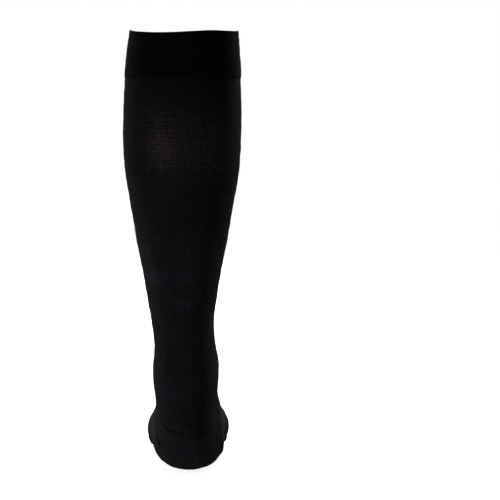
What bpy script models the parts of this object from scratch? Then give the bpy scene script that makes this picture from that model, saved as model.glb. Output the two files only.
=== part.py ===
"""Knee-high compression stocking for the left leg, filled out as it is worn.

The toes point to +Y, the back of the leg faces -Y and the inner side of the leg faces +X.
The origin is the centre of the top opening, level with the rim; the sole is LEG_HEIGHT below it.
Lengths are in millimetres until a mesh is written, which is in metres.

One smooth surface carries every piece. A row of SECTIONS is a plane cut through the
stocking, level at the leg and fanned out round the heel until it stands upright in the foot.
A place on the surface is a pair: the station, which is the distance along the stocking from the
rim, and the angle round the cut, which is 0 at the back or sole, 90 degrees at the inner side and
180 degrees at the front or instep. Each piece is a stretch of that surface with a wall.
"""

import math

import bmesh
import bpy
import numpy as np

METRES_PER_MM = 0.001

# Driving dimensions
LEG_HEIGHT = 415.0          # sole to rim
WELT_HEIGHT = 43.0          # doubled band at the knee
WELT_WALL = 2.0             # two layers of knit
WELT_STEP = 0.4             # how far the band stands proud of the leg
LEG_WALL = 1.2
POCKET_WALL = 1.6           # reinforced knit at heel and toe
SEAM_GAP = 0.3              # between two pieces at a seam
RIM_WAVE = 0.9              # rise and fall of the rim
RIM_WAVES = 3
RIM_ROUNDING = 0.5          # radius on the edges of the folded rim
ROUNDING_SEGMENTS = 2
POCKET_CORNER = math.radians(99.6)      # where the pocket's edges meet, off the heel's back
POCKET_RISE = 31.0          # up the ankle from the gore line, at the back
POCKET_RUN = 55.0           # under the heel from the gore line, at the sole

# Fineness
COLUMNS_ROUND = 40
COLUMN_STEP = 2 * math.pi / COLUMNS_ROUND
POCKET_COLUMNS_A_SIDE = 11
WELT_ROWS = 5
LEG_ROWS = 30
FOOT_ROWS = 20
POCKET_ROWS_ABOVE = 5
POCKET_ROWS_BELOW = 7
TOE_ROWS = 9
SLOPE_STEP = 0.01           # step in mm, and in radians, when a slope is measured
SHARP_ANGLE = math.radians(50)

# A cut goes from a back point to a front point, each with its place along Y and its height over
# the sole. centre and half_width lie along X. widest is the share of the way from back to front
# at which the cut is widest, and lean how much nearer the front that is on the inner side.
# back_full and front_full are the powers of the rounded halves: 2 is an ellipse, more is fuller.
COLUMNS = ("back_y", "back_h", "front_y", "front_h", "centre", "half_width",
           "widest", "lean", "back_full", "front_full")
SECTIONS = {
    "rim":        (-51.5, 415.0,  51.5, 415.0,  0.0, 51.7, 0.50, 0.00, 2.15, 2.10),
    "welt":       (-57.5, 372.0,  52.5, 372.0, -0.5, 55.0, 0.49, 0.00, 2.10, 2.10),
    "calf":       (-61.5, 333.0,  52.5, 333.0, -0.8, 55.8, 0.47, 0.00, 2.10, 2.05),
    "calf_low":   (-60.5, 290.0,  50.5, 290.0, -1.2, 54.3, 0.46, 0.00, 2.10, 2.00),
    "taper_high": (-55.5, 252.0,  46.5, 252.0, -1.4, 48.7, 0.46, 0.00, 2.10, 2.00),
    "taper_mid":  (-49.5, 210.0,  41.0, 210.0, -1.5, 41.3, 0.48, 0.00, 2.10, 2.00),
    "taper_low":  (-43.5, 165.0,  34.5, 168.0, -1.6, 33.4, 0.50, 0.00, 2.10, 2.00),
    "ankle_high": (-41.0, 147.0,  32.0, 153.0, -1.3, 30.5, 0.51, 0.00, 2.10, 2.00),
    "ankle":      (-39.5, 128.0,  31.0, 140.0, -0.2, 28.7, 0.52, 0.00, 2.10, 2.00),
    "ankle_low":  (-40.5, 100.0,  32.0, 130.0,  1.3, 29.2, 0.55, 0.00, 2.20, 2.00),
    "pocket_top": (-46.5,  70.0,  34.0, 122.0,  2.1, 30.9, 0.55, 0.00, 2.20, 2.00),
    "heel_back":  (-51.5,  46.0,  37.0, 115.5,  2.5, 30.0, 0.50, 0.00, 2.30, 2.00),
    "gore":       (-53.5,  26.0,  40.5, 110.0,  3.3, 29.8, 0.42, 0.02, 2.20, 1.90),
    "heel_low":   (-44.5,   7.0,  45.0, 104.0,  4.5, 32.0, 0.31, 0.01, 2.30, 1.75),
    "heel_under": (-25.5,   0.5,  50.0,  98.0,  5.1, 33.1, 0.25, 0.00, 2.20, 1.90),
    "pocket_end": (  0.5,   0.5,  57.0,  90.0,  4.8, 33.2, 0.26, 0.02, 2.10, 2.20),
    "arch":       ( 30.5,   2.0,  70.0,  77.5,  3.6, 33.4, 0.34, 0.04, 2.10, 2.35),
    "instep":     ( 62.5,   2.0,  87.0,  64.0,  2.8, 36.6, 0.43, 0.06, 2.20, 2.40),
    "mid_foot":   ( 90.5,   1.0, 105.5,  52.0,  2.2, 39.2, 0.45, 0.06, 2.35, 2.40),
    "ball":       (113.5,   0.0, 123.5,  43.0,  1.8, 40.0, 0.45, 0.06, 2.35, 2.40),
    "toe_seam":   (136.5,   0.0, 142.5,  35.0,  1.4, 38.5, 0.46, 0.04, 2.30, 2.30),
    "toe_half":   (155.5,   2.0, 159.5,  28.0,  0.6, 33.5, 0.46, 0.02, 2.20, 2.10),
    "toe_end":    (168.5,   5.0, 170.5,  23.0,  0.2, 25.3, 0.48, 0.00, 2.20, 2.10),
    "toe_tip":    (176.5,   9.0, 177.5,  17.0, -0.1, 13.0, 0.50, 0.00, 2.10, 2.10),
    "tip":        (178.5,  12.5, 178.7,  13.5, -0.2,  1.5, 0.50, 0.00, 2.10, 2.10),
}

# Colour, roughness
CLOTH_COLOUR = (0.010, 0.009, 0.011)
WELT_COLOUR = (0.006, 0.006, 0.007)
POCKET_COLOUR = (0.012, 0.011, 0.013)
CLOTH_ROUGHNESS = 0.85


def section_stations(rows):
    """Distance of each cut from the rim: the mean way along back, front and both sides."""
    back_y, back_h, front_y, front_h, centre, half, widest = rows.T[:7]
    side_y = back_y + widest * (front_y - back_y)
    side_h = back_h + widest * (front_h - back_h)
    lines = [np.stack(line, axis=1) for line in (
        (centre, back_y, back_h), (centre, front_y, front_h),
        (centre - half, side_y, side_h), (centre + half, side_y, side_h))]
    steps = np.mean([np.linalg.norm(np.diff(line, axis=0), axis=1) for line in lines], axis=0)
    return np.concatenate(([0.0], np.cumsum(steps)))


def spline_bends(knots, values):
    """Second derivatives of the natural cubic spline through the values at the knots."""
    count = len(knots)
    spans = np.diff(knots)
    matrix = np.eye(count)
    right = np.zeros_like(values)
    for i in range(1, count - 1):
        matrix[i, i - 1:i + 2] = spans[i - 1], 2 * (spans[i - 1] + spans[i]), spans[i]
        right[i] = 6 * ((values[i + 1] - values[i]) / spans[i]
                        - (values[i] - values[i - 1]) / spans[i - 1])
    return np.linalg.solve(matrix, right)


ROWS = np.array(list(SECTIONS.values()))
KNOTS = section_stations(ROWS)
BENDS = spline_bends(KNOTS, ROWS)
STATION = dict(zip(SECTIONS, KNOTS))


def section_at(station):
    """Values of every column at the stations, read from the spline, as a dict of arrays."""
    i = np.clip(np.searchsorted(KNOTS, station) - 1, 0, len(KNOTS) - 2)
    span = (KNOTS[i + 1] - KNOTS[i])[..., None]
    past = (station - KNOTS[i])[..., None]
    slope = (ROWS[i + 1] - ROWS[i]) / span - span * (2 * BENDS[i] + BENDS[i + 1]) / 6
    cubic = (BENDS[i + 1] - BENDS[i]) / (6 * span)
    values = ROWS[i] + past * (slope + past * (BENDS[i] / 2 + past * cubic))
    return dict(zip(COLUMNS, np.moveaxis(values, -1, 0)))


def surface(station, angle):
    """Points of the smooth surface in mm, with the origin at the centre of the rim."""
    cut = section_at(station)
    back_part = np.cos(angle)
    side_part = np.sin(angle)
    power = np.where(back_part > 0, cut["back_full"], cut["front_full"])
    reach = (np.abs(back_part) ** power + np.abs(side_part) ** power) ** (-1 / power)
    widest = cut["widest"] + cut["lean"] * side_part
    depth = np.where(back_part > 0, widest, 1 - widest)
    share = widest - depth * reach * back_part
    x = cut["centre"] + cut["half_width"] * reach * side_part
    y = cut["back_y"] + (cut["front_y"] - cut["back_y"]) * share
    z = cut["back_h"] + (cut["front_h"] - cut["back_h"]) * share - LEG_HEIGHT
    return np.stack((x, y, z), axis=-1)


def outward(station, angle):
    """Unit normals of the surface, pointing out, from its slopes along and round."""
    along = surface(station + SLOPE_STEP, angle) - surface(station - SLOPE_STEP, angle)
    around = surface(station, angle + SLOPE_STEP) - surface(station, angle - SLOPE_STEP)
    normals = np.cross(along, around)
    return normals / np.linalg.norm(normals, axis=-1, keepdims=True)


def angles_round():
    """Angles of the columns of a whole tube, from the front round by the outer side."""
    return (np.arange(COLUMNS_ROUND) - COLUMNS_ROUND // 2) * COLUMN_STEP


def pocket_reach(angle, reach):
    """Reach of the heel pocket from the gore line: a cosine that is 0 at the corners."""
    return reach * np.cos(np.clip(angle / POCKET_CORNER, -1, 1) * math.pi / 2)


def pocket_seam(angle, reach):
    """Half the seam's gap, measured along the stocking: more where the seam runs aslant."""
    corner_share = np.clip(angle / POCKET_CORNER, -1, 1)
    fall = reach * math.pi / 2 / POCKET_CORNER * np.sin(corner_share * math.pi / 2)
    return SEAM_GAP / 2 * np.hypot(1, fall / section_at(STATION["gore"])["half_width"])


def rows_between(start, end, count):
    """Stations of count + 1 rows from the start to the end, which may vary with the angle."""
    shares = np.linspace(0, 1, count + 1)[:, None]
    return start + (end - start) * shares


def wall_object(name, stations, angles, wall, proud, colour, is_ring, is_closed):
    """A piece of cloth: a sheet on the surface, moved out by proud, with its wall inside it.

    is_ring joins the last column to the first. is_closed fills the last row with a cap.
    """
    angles = np.broadcast_to(angles, stations.shape)
    points = surface(stations, angles)
    normals = outward(stations, angles)
    layers = [points + normals * proud, points + normals * (proud - wall)]
    work = bmesh.new()
    outer, inner = [[[work.verts.new(point * METRES_PER_MM) for point in row] for row in layer]
                    for layer in layers]
    row_count, column_count = stations.shape
    last_column = column_count if is_ring else column_count - 1

    def add_quads(near, far):
        """Faces between two lines of vertices, right-handed from near to far."""
        for i in range(last_column):
            j = (i + 1) % column_count
            work.faces.new((near[i], far[i], far[j], near[j]))

    for row in range(row_count - 1):
        add_quads(outer[row], outer[row + 1])
        add_quads(inner[row + 1], inner[row])
    add_quads(inner[0], outer[0])
    if is_closed:
        for line, turn in ((outer[-1], 1), (inner[-1], -1)):
            middle = sum((vertex.co for vertex in line[1:]), line[0].co.copy()) / column_count
            hub = work.verts.new(middle)
            for i in range(column_count):
                corners = (line[i], hub, line[(i + 1) % column_count])
                work.faces.new(corners[::turn])
    else:
        add_quads(outer[-1], inner[-1])
    if not is_ring:
        for row in range(row_count - 1):
            work.faces.new((outer[row][0], inner[row][0], inner[row + 1][0], outer[row + 1][0]))
            work.faces.new((outer[row][-1], outer[row + 1][-1],
                            inner[row + 1][-1], inner[row][-1]))

    mesh = bpy.data.meshes.new(name)
    work.to_mesh(mesh)
    work.free()
    mesh.shade_smooth()
    mesh.set_sharp_from_angle(angle=SHARP_ANGLE)
    mesh.materials.append(cloth_material(name, colour))
    piece = bpy.data.objects.new(name, mesh)
    bpy.context.scene.collection.objects.link(piece)
    return piece


def cloth_material(name, colour):
    """A plain matt cloth in the piece's colour."""
    material = bpy.data.materials.new(name)
    material.use_nodes = True
    shader = material.node_tree.nodes["Principled BSDF"]
    shader.inputs["Base Color"].default_value = (*colour, 1.0)
    shader.inputs["Roughness"].default_value = CLOTH_ROUGHNESS
    shader.inputs["Metallic"].default_value = 0.0
    return material


def make_top_band():
    """Doubled welt: a thick band with a rounded, slightly wavy rim, proud of the leg."""
    angles = angles_round()
    rim = -RIM_WAVE * np.sin(RIM_WAVES * angles)
    stations = rows_between(rim, WELT_HEIGHT - SEAM_GAP / 2, WELT_ROWS)
    band = wall_object("top_band", stations, angles, WELT_WALL, WELT_STEP, WELT_COLOUR,
                       is_ring=True, is_closed=False)
    rounding = band.modifiers.new("rim_rounding", "BEVEL")
    rounding.width = RIM_ROUNDING * METRES_PER_MM
    rounding.segments = ROUNDING_SEGMENTS
    rounding.limit_method = "ANGLE"
    rounding.angle_limit = SHARP_ANGLE


def make_leg_tube():
    """Leg from the welt to the gore line in front and to the heel pocket behind."""
    angles = angles_round()
    edge = STATION["gore"] - pocket_reach(angles, POCKET_RISE) - pocket_seam(angles, POCKET_RISE)
    stations = rows_between(WELT_HEIGHT + SEAM_GAP / 2, edge, LEG_ROWS)
    wall_object("leg_tube", stations, angles, LEG_WALL, 0.0, CLOTH_COLOUR,
                is_ring=True, is_closed=False)


def make_heel_pocket():
    """Heel pocket: the cup between leg and foot, which narrows to a corner at each side."""
    sides = np.arange(-POCKET_COLUMNS_A_SIDE, POCKET_COLUMNS_A_SIDE + 1)
    angles = sides * COLUMN_STEP
    gore = STATION["gore"]
    top = gore - pocket_reach(angles, POCKET_RISE) + pocket_seam(angles, POCKET_RISE)
    end = gore + pocket_reach(angles, POCKET_RUN) - pocket_seam(angles, POCKET_RUN)
    stations = np.concatenate((rows_between(top, gore, POCKET_ROWS_ABOVE),
                               rows_between(gore, end, POCKET_ROWS_BELOW)[1:]))
    wall_object("heel_pocket", stations, angles, POCKET_WALL, 0.0, POCKET_COLOUR,
                is_ring=False, is_closed=False)


def make_foot_tube():
    """Instep and sole, from the gore line and the heel pocket to the toe seam."""
    angles = angles_round()
    edge = STATION["gore"] + pocket_reach(angles, POCKET_RUN) + pocket_seam(angles, POCKET_RUN)
    stations = rows_between(edge, STATION["toe_seam"] - SEAM_GAP / 2, FOOT_ROWS)
    wall_object("foot_tube", stations, angles, LEG_WALL, 0.0, CLOTH_COLOUR,
                is_ring=True, is_closed=False)


def make_toe_cap():
    """Closed toe, from the toe seam to the tip."""
    angles = angles_round()
    start = np.full_like(angles, STATION["toe_seam"] + SEAM_GAP / 2)
    stations = rows_between(start, STATION["tip"], TOE_ROWS)
    wall_object("toe_cap", stations, angles, POCKET_WALL, 0.0, POCKET_COLOUR,
                is_ring=True, is_closed=True)


def main():
    for thing in list(bpy.data.objects):
        bpy.data.objects.remove(thing)
    make_top_band()
    make_leg_tube()
    make_heel_pocket()
    make_foot_tube()
    make_toe_cap()


main()
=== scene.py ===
"""Looks of a knee-high compression stocking: its knitted shells, seams, stage, light and camera.

Every piece is a stretch of one smooth surface. A place on it is a station, which is the distance
along the stocking from the rim, and an angle round it: 0 at the back or sole, 90 degrees at the
inner side and 180 degrees at the front or instep. Tables and surfaces are in millimetres; the
properties of the add-on and the meshes are in metres.
"""

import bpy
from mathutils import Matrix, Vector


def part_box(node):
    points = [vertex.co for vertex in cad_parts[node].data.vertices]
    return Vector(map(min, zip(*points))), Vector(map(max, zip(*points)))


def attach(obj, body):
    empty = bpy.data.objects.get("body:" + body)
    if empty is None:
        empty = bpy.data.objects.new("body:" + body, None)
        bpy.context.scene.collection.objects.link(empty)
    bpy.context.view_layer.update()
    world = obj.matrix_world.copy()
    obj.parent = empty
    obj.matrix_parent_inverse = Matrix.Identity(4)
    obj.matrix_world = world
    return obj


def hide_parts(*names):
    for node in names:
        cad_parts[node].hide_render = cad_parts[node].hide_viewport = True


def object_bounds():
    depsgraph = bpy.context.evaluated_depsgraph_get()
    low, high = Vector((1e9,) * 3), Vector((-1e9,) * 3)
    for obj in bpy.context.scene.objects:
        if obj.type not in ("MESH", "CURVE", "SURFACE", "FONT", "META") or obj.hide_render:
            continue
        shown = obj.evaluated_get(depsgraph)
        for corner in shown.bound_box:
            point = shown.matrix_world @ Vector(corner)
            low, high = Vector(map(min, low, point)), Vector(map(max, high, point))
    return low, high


bl_info = {
    "name": "Compression Stocking",
    "version": (1, 0, 0),
    "blender": (4, 5, 0),
    "location": "View3D > Sidebar > Stocking",
    "description": "Knits the shells, seams and studio of a knee-high compression stocking",
    "category": "Add Mesh",
}

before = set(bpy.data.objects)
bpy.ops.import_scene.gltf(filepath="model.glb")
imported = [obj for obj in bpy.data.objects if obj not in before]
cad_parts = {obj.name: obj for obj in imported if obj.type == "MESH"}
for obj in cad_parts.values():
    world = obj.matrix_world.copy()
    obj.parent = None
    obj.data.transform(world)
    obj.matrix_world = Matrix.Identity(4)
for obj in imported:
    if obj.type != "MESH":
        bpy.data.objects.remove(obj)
CAD_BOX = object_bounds()

import math

import bmesh
import bpy
import numpy as np
from bpy.props import FloatProperty, FloatVectorProperty, IntProperty, PointerProperty
from mathutils import Vector

MM = 0.001
BODY = "root"
KNIT_MAP = "Knit"  # UV map: wales across, courses along
BAKE_MAP = "OFBake"  # UV map: the whole shell laid out once
TONE_AND_LIGHT_MARK = "tone"  # attribute: how light the knit is, with its painted light and shade, 1 is plain
WARM_MARK = "warmth"  # attribute: how warm its black is
MOST_OFF_NODE = 1.5  # mm that a shell may reach past its solid's box

# A cut goes from a back point to a front point, each with its place along Y and its height over
# the sole. centre and half_width lie along X. widest is the share of the way from back to front
# at which the cut is widest, and lean how much nearer the front that is on the inner side.
# back_full and front_full are the powers of the rounded halves: 2 is an ellipse, more is fuller.
LEG_HEIGHT = 415.0
COLUMNS = ("back_y", "back_h", "front_y", "front_h", "centre", "half_width",
           "widest", "lean", "back_full", "front_full")
SECTIONS = {
    "rim": (-51.5, 415, 51.5, 415, 0, 51.7, 0.5, 0, 2.15, 2.1),
    "welt": (-57.5, 372, 52.5, 372, -0.5, 55, 0.49, 0, 2.1, 2.1),
    "calf": (-61.5, 333, 52.5, 333, -0.8, 55.8, 0.47, 0, 2.1, 2.05),
    "calf_low": (-60.5, 290, 50.5, 290, -1.2, 54.3, 0.46, 0, 2.1, 2),
    "taper_high": (-55.5, 252, 46.5, 252, -1.4, 48.7, 0.46, 0, 2.1, 2),
    "taper_mid": (-49.5, 210, 41, 210, -1.5, 41.3, 0.48, 0, 2.1, 2),
    "taper_low": (-43.5, 165, 34.5, 168, -1.6, 33.4, 0.5, 0, 2.1, 2),
    "ankle_high": (-41, 147, 32, 153, -1.3, 30.5, 0.51, 0, 2.1, 2),
    "ankle": (-39.5, 128, 31, 140, -0.2, 28.7, 0.52, 0, 2.1, 2),
    "ankle_low": (-40.5, 100, 32, 130, 1.3, 29.2, 0.55, 0, 2.2, 2),
    "pocket_top": (-46.5, 70, 34, 122, 2.1, 30.9, 0.55, 0, 2.2, 2),
    "heel_back": (-51.5, 46, 37, 115.5, 2.5, 30, 0.5, 0, 2.3, 2),
    "gore": (-53.5, 26, 40.5, 110, 3.3, 29.8, 0.42, 0.02, 2.2, 1.9),
    "heel_low": (-44.5, 7, 45, 104, 4.5, 32, 0.31, 0.01, 2.3, 1.75),
    "heel_under": (-25.5, 0.5, 50, 98, 5.1, 33.1, 0.25, 0, 2.2, 1.9),
    "pocket_end": (0.5, 0.5, 57, 90, 4.8, 33.2, 0.26, 0.02, 2.1, 2.2),
    "arch": (30.5, 2, 70, 77.5, 3.6, 33.4, 0.34, 0.04, 2.1, 2.35),
    "instep": (62.5, 2, 87, 64, 2.8, 36.6, 0.43, 0.06, 2.2, 2.4),
    "mid_foot": (90.5, 1, 105.5, 52, 2.2, 39.2, 0.45, 0.06, 2.35, 2.4),
    "ball": (113.5, 0, 123.5, 43, 1.8, 40, 0.45, 0.06, 2.35, 2.4),
    "toe_seam": (136.5, 0, 142.5, 35, 1.4, 38.5, 0.46, 0.04, 2.3, 2.3),
    "toe_half": (155.5, 2, 159.5, 28, 0.6, 33.5, 0.46, 0.02, 2.2, 2.1),
    "toe_end": (168.5, 5, 170.5, 23, 0.2, 25.3, 0.48, 0, 2.2, 2.1),
    "toe_tip": (176.5, 9, 177.5, 17, -0.1, 13, 0.5, 0, 2.1, 2.1),
    "tip": (178.5, 12.5, 178.7, 13.5, -0.2, 1.5, 0.5, 0, 2.1, 2.1),
}

# Soft creases in the worn cloth: station, angle, half_round, half_along, height and slant. Each
# reaches half_round degrees to either side and half_along to either edge, stands height proud (less
# than 0 is a trough) and runs down by slant for each radian round.
CREASES = {
    "calf_fold": (214, 12, 20, 6, 0.5, 18),
    "calf_fold_under": (224, 18, 22, 6, -0.55, 20),
    "calf_low_fold": (236, 8, 22, 6, 0.45, 12),
    "outer_calf_fold": (212, -48, 18, 6.5, 0.5, -8),
    "outer_calf_under": (222, -52, 20, 6, -0.5, -10),
    "outer_low_fold": (233, -44, 20, 6.5, 0.45, -6),
    "tendon_fold": (262, 10, 26, 7, 0.35, -9),
    "tendon_under": (273, -4, 30, 7, -0.35, -7),
    "ankle_back": (306, 8, 34, 6.5, -0.35, 4),
    "shin_fold": (205, 166, 26, 9, -0.55, 9),
    "shin_edge": (219, 174, 28, 8, 0.5, 11),
    "shin_outer": (236, -150, 26, 8, -0.45, -10),
    "bend_top": (306, 166, 22, 5, -0.45, 12),
    "bend_top_edge": (315, -168, 30, 4.8, 0.6, -10),
    "bend_high": (324.5, -162, 34, 4.2, -1, 9),
    "bend_high_edge": (332.5, 164, 36, 4.6, 0.8, 14),
    "bend_mid": (342.5, 174, 46, 4.8, -1.15, -8),
    "bend_mid_edge": (352.5, -156, 34, 5.2, 0.8, -16),
    "bend_low": (361, -178, 30, 5.8, -0.7, 10),
    "bend_low_edge": (373, 162, 26, 6.2, 0.5, 18),
    "bend_inner": (338, 112, 20, 5, -0.45, 16),
    "bend_outer": (341, -116, 20, 5, -0.45, -18),
    "pucker_outer": (367, -58, 4.6, 2.3, -2.2, 8),
    "pucker_inner": (379.6, 72, 5.6, 2.3, -2.2, -8),
    "instep_fold": (392, -160, 30, 7, -0.5, -10),
    "instep_side": (420, 118, 26, 8, 0.4, 16),
    "arch_fold": (438, 62, 28, 9, -0.55, -14),
    "arch_edge": (456, 70, 24, 8, 0.35, -12),
    "outer_foot": (446, -84, 26, 9, 0.35, 12),
    "ball_fold": (500, 160, 34, 7, -0.45, 10),
    "ball_edge": (512, 168, 32, 7, 0.35, 12),
}

# Where the worn cloth stands a little wider or narrower than the smooth form: the same columns,
# without a slant.
SWELLS = {
    "rim_inner": (0, 92, 36, 14, 0.3),
    "rim_outer": (0, -92, 36, 14, -1),
    "band_outer": (46, -88, 36, 12, -0.35),
    "band_under_inner": (48, 88, 36, 4, -0.4),
    "calf_outer": (110, -88, 44, 44, 0.42),
    "calf_inner": (140, 90, 44, 34, 0.5),
    "taper_outer": (197, -86, 40, 13, 0.5),
    "taper_inner": (196, 88, 40, 14, 0.5),
    "shin_inner": (262, 88, 40, 26, 0.6),
    "shin_outer": (264, -86, 40, 14, 0.4),
    "ankle_outer": (283, -84, 40, 11, 1),
    "ankle_top_inner": (287, 88, 34, 7, 0.5),
    "ankle_inner": (303, 93, 34, 8, -0.2),
    "ankle_bone_outer": (328, -82, 34, 11, 1),
    "ankle_bone_inner": (326, 88, 34, 9, 0.65),
    "heel_top_outer": (342, -76, 26, 9, -0.45),
    "heel_low_outer": (389, -88, 16, 7, 1.3),
    "heel_round_outer": (388, -42, 24, 11, -0.2),
    "heel_round_inner": (394, 71, 6, 8, 0.3),
    "instep_hollow": (452, 121, 20, 32, -1.45),
    "ball_top_outer": (492, -110, 20, 20, 1),
    "ball_side_outer": (486, -74, 12, 12, -0.4),
    "ball_top_inner": (494, 106, 16, 14, 1),
    "ball_low_outer": (504, -85, 10, 14, -0.8),
    "ball_under_outer": (505, -59, 7, 14, 0.75),
    "ball_low_inner": (506, 74, 6, 12, -0.65),
    "ball_under_inner": (503, 61, 6, 12, 1.15),
    "instep_low_inner": (412, 120, 6, 8, -0.6),
    "mid_foot_inner": (475, 114, 6, 9, 0.45),
    "ball_rise_inner": (497, 106, 7, 7, -0.3),
    "heel_base_inner": (392, 56, 10, 9, -0.5),
}

# How light the knit is at each named cut, lower is blacker: blackest in the dense band, then rising
# towards the foot as painted light.
TONES = {
    "rim": 0.30, "welt": 0.24, "calf": 0.66, "calf_low": 0.76, "taper_high": 0.76,
    "taper_mid": 1.08, "taper_low": 1.24, "ankle_high": 1.14, "ankle": 1.10, "ankle_low": 1.04,
    "pocket_top": 1.12, "heel_back": 1.02, "gore": 1.12, "heel_low": 1.26, "heel_under": 1.22,
    "arch": 1.25, "ball": 1.15, "toe_seam": 1.12, "tip": 1.20,
}

# Patches of tone: station, angle, half_round, half_along, and how much lighter and how much warmer
# each is. Where the warmth is 0.3 or more, the leg opens the knit, so that it looks lighter and a
# warmer black. The rest are painted light and shade: lighter where more light falls, painted
# highlights along the sides and on the tops of folds, painted shade under folds and on the darker
# sides, and painted shadow in the puckers.
LIGHT, WARM = 4, 5
OPENED_KNIT_AND_PAINTED_LIGHT = {
    # Painted light and shade on the band and just under it: lighter in the middle, darker at the
    # sides.
    "band_middle": (22, -20, 44, 34, 0.38, 0),
    "band_inner": (18, 74, 28, 40, -0.48, 0),
    "band_outer": (26, -86, 14, 44, -0.35, 0),
    "band_under": (60, 70, 24, 16, -0.38, 0),
    "under_middle": (56, -6, 34, 14, 0.3, 0),
    "under_outer": (56, -84, 22, 20, -0.2, 0),
    "under_inner": (54, 88, 20, 16, -0.4, 0),
    # Opened knit over the calf, lighter and a warmer black.
    "calf_high": (86, 10, 42, 14, 0.38, 0.35),
    "calf_muscle": (108, -19, 19, 28, 1.7, 1),
    "calf_inner": (112, 28, 30, 28, 0.92, 0.75),
    # Painted shade towards the sides of the calf.
    "calf_outer": (116, -50, 16, 38, -0.42, 0),
    "calf_far": (146, -90, 18, 60, -0.34, 0),
    "calf_edge": (112, 88, 16, 46, -0.42, 0),
    "taper_shade": (158, 46, 22, 26, -0.22, 0),
    # Opened knit over the shin.
    "shin": (120, 178, 34, 44, 0.45, 0.6),
    # Painted highlights along the sides of the shin and ankle.
    "shin_outer": (240, -82, 20, 52, 0.38, 0),
    "shin_inner": (252, 82, 20, 52, 0.32, 0),
    "ankle_edge": (288, -86, 16, 24, 0.34, 0),
    "ankle_edge_in": (292, 86, 16, 24, 0.46, 0),
    # Painted highlights on the tops of the calf's folds and by the tendon, and painted shade under
    # the folds.
    "fold_inner": (209, 9, 8, 7, 0.55, 0),
    "fold_inner_2": (229.5, 8, 12, 6.5, 0.8, 0),
    "fold_shade": (220, 22, 15, 6, -0.3, 0),
    "fold_outer": (208, -51, 12, 7, 0.95, 0.1),
    "fold_outer_2": (231, -44, 11, 8.5, 0.95, 0),
    "outer_shade": (219, -34, 10, 7, -0.25, 0),
    "tendon": (256, 8, 13, 6, 0.6, 0),
    # Painted light and shade round the ankle and heel: lighter where more light falls, darker at
    # the heel's inner side.
    "ankle_inner": (326, 51, 14, 32, 0.55, 0),
    "ankle_outer": (324, -40, 24, 24, 0.22, 0),
    "heel_inner": (338, 25, 12, 26, -0.44, 0),
    "heel_cup": (346, -28, 38, 14, 0.46, 0.15),
    "heel_outer": (362, -52, 22, 22, 0.2, 0),
    "heel_edge": (348, -62, 11, 16, 0.42, 0),
    "heel_side": (366, 86, 16, 17, -0.62, 0),
    "heel_base": (360, 22, 38, 12, 0.55, 0),
    "heel_low_edge": (380, -72, 22, 14, -0.22, 0),
    # Painted shadow in the puckers beside the heel.
    "pucker_outer": (367, -58, 5.4, 2.8, -1.6, 0),
    "pucker_inner": (379.6, 72, 7, 2.8, -1.6, 0),
    # Painted highlights along the sides of the arch, and painted shade beside them.
    "arch_inner": (457, 95, 26, 7.5, 0.85, 0),
    "arch_near": (428, 92, 28, 14, -0.25, 0),
    "ball_inner": (488, 98, 26, 14, -0.28, 0),
    "arch_outer": (452, -97, 26, 9, 0.72, 0),
    "ball_outer": (488, -100, 26, 14, -0.28, 0),
    # Opened knit over the instep.
    "instep": (440, 176, 50, 40, 0.3, 0.3),
}

COLUMNS_ROUND = 192
COLUMN_STEP = 2 * math.pi / COLUMNS_ROUND
SLOPE_STEP = 0.01  # mm, and radians, over which a slope is measured


# The surface

def section_stations(rows):
    """Distance of each cut from the rim: the mean way along back, front and both sides."""
    back_y, back_h, front_y, front_h, centre, half, widest = rows.T[:7]
    side_y = back_y + widest * (front_y - back_y)
    side_h = back_h + widest * (front_h - back_h)
    lines = [np.stack(line, axis=1) for line in (
        (centre, back_y, back_h), (centre, front_y, front_h),
        (centre - half, side_y, side_h), (centre + half, side_y, side_h))]
    steps = np.mean([np.linalg.norm(np.diff(line, axis=0), axis=1) for line in lines], axis=0)
    return np.concatenate(([0.0], np.cumsum(steps)))


def spline_bends(knots, values):
    """Second derivatives of the natural cubic spline through the values at the knots.

    Each inner knot's row says that the slopes on its two sides agree; the ends don't bend.
    """
    spans = np.diff(knots)
    inner = np.arange(1, len(knots) - 1)
    matrix = np.eye(len(knots))
    matrix[inner, inner - 1] = spans[:-1]
    matrix[inner, inner] = 2 * (spans[:-1] + spans[1:])
    matrix[inner, inner + 1] = spans[1:]
    right = np.zeros_like(values)
    right[inner] = 6 * np.diff(np.diff(values, axis=0) / spans[:, None], axis=0)
    return np.linalg.solve(matrix, right)


ROWS = np.array(list(SECTIONS.values()))
KNOTS = section_stations(ROWS)
BENDS = spline_bends(KNOTS, ROWS)
STATION = dict(zip(SECTIONS, KNOTS))


def section_at(station):
    """Values of every column at the stations, read from the spline, as a dict of arrays."""
    i = np.clip(np.searchsorted(KNOTS, station) - 1, 0, len(KNOTS) - 2)
    span = (KNOTS[i + 1] - KNOTS[i])[..., None]
    past = (station - KNOTS[i])[..., None]
    slope = (ROWS[i + 1] - ROWS[i]) / span - span * (2 * BENDS[i] + BENDS[i + 1]) / 6
    cubic = (BENDS[i + 1] - BENDS[i]) / (6 * span)
    values = ROWS[i] + past * (slope + past * (BENDS[i] / 2 + past * cubic))
    return dict(zip(COLUMNS, np.moveaxis(values, -1, 0)))


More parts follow.
